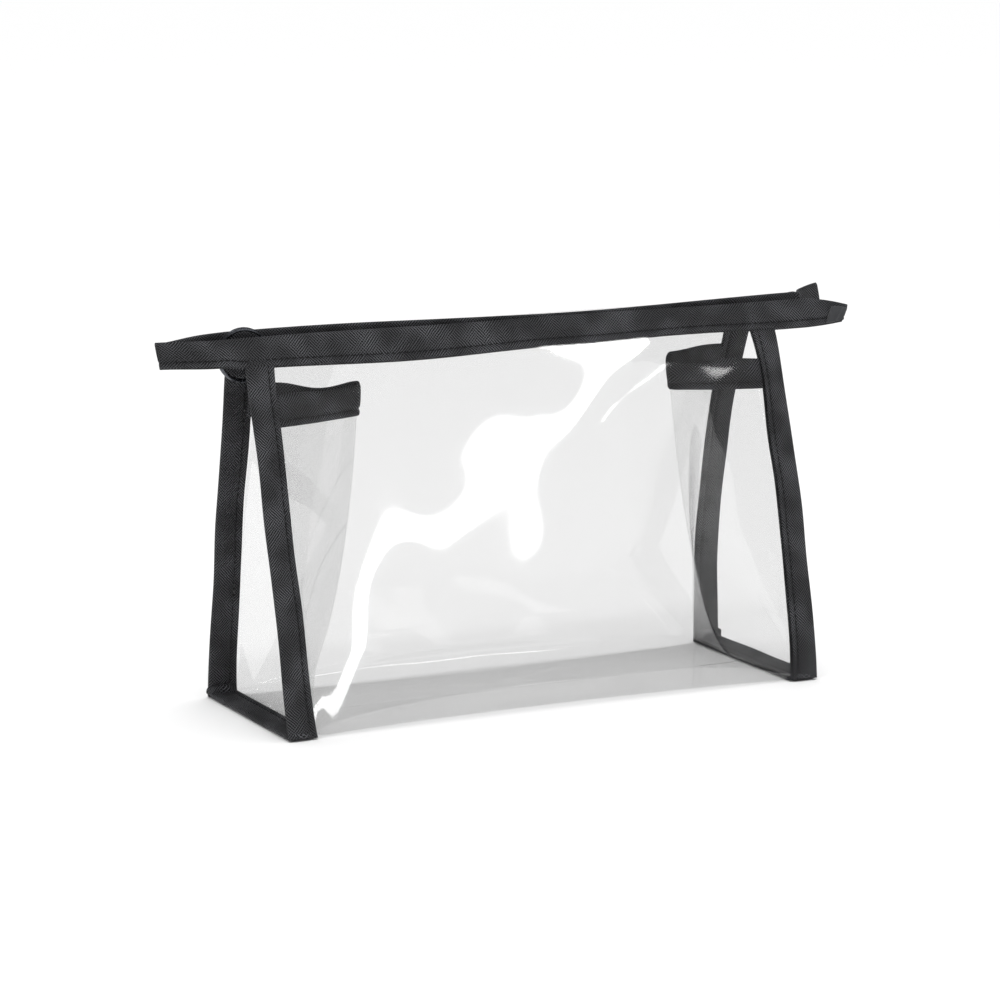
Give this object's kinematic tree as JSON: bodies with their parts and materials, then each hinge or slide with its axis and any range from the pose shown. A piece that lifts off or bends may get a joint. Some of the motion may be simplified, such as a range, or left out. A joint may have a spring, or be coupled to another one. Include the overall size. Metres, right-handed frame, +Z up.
{
  "type": "makeup bag",
  "caption": "Clear film makeup bag with black folded-tape edges: flat base, in-folding ends, and a zip-top mouth that opens between two leaning panels, with a ring on its slider.",
  "frame": {"origin": "on the floor, at the middle of the whole bag's box", "axes": "+X along the zip, away from the closed end; +Y from the front panel to the back panel; +Z up"},
  "size_m": [0.283, 0.0774, 0.142],
  "materials": {
    "clear_film": "clear glossy PVC film",
    "black_tape": "black cross-grain embossed PU tape",
    "zip_tape": "black woven polyester",
    "zip_coil": "black nylon coil",
    "black_metal": "black plated metal"
  },
  "bodies": {
    "base": {"bottom_panel": "clear_film", "left_bottom_binding": "black_tape", "right_bottom_binding": "black_tape", "left_gusset": "clear_film", "right_gusset": "clear_film", "left_gusset_top_binding": "black_tape", "right_gusset_top_binding": "black_tape", "zip_chain_end": "zip_coil", "zip_bottom_stop": "black_metal"},
    "front": {"front_panel": "clear_film", "front_left_binding": "black_tape", "front_right_binding": "black_tape", "front_zip_band": "black_tape", "front_zip_tape": "zip_tape", "front_zip_coil": "zip_coil", "front_top_stop": "black_metal"},
    "back": {"back_panel": "clear_film", "back_left_binding": "black_tape", "back_right_binding": "black_tape", "back_zip_band": "black_tape", "back_zip_tape": "zip_tape", "back_zip_coil": "zip_coil", "back_top_stop": "black_metal"},
    "slider": {"zip_slider": "black_metal"},
    "loop": {"pull_loop": "black_metal"},
    "ring": {"pull_ring": "black_metal"}
  },
  "joints": [
    {"name": "front_opening", "type": "hinge", "parent": "base", "child": "front", "pos_m": [0, -0.0373, 0.0012], "axis": [-1, 0, 0], "range_deg": [-15.3, 0], "stiffness_Nm_per_rad": 0.05},
    {"name": "back_opening", "type": "hinge", "parent": "base", "child": "back", "pos_m": [0, 0.0373, 0.0012], "axis": [1, 0, 0], "range_deg": [-9.7, 0], "stiffness_Nm_per_rad": 0.05},
    {"name": "zip_run", "type": "slide", "parent": "base", "child": "slider", "axis": [1, 0, 0], "range_m": [0, 0.213]},
    {"name": "loop_flip", "type": "hinge", "parent": "slider", "child": "loop", "pos_m": [-0.122, 0.007, 0.1365], "axis": [0, -1, 0], "range_deg": [0, 130]},
    {"name": "ring_swing", "type": "hinge", "parent": "loop", "child": "ring", "pos_m": [-0.11611, 0.007, 0.13536], "axis": [0, -1, 0], "range_deg": [-15, 30]}
  ]
}
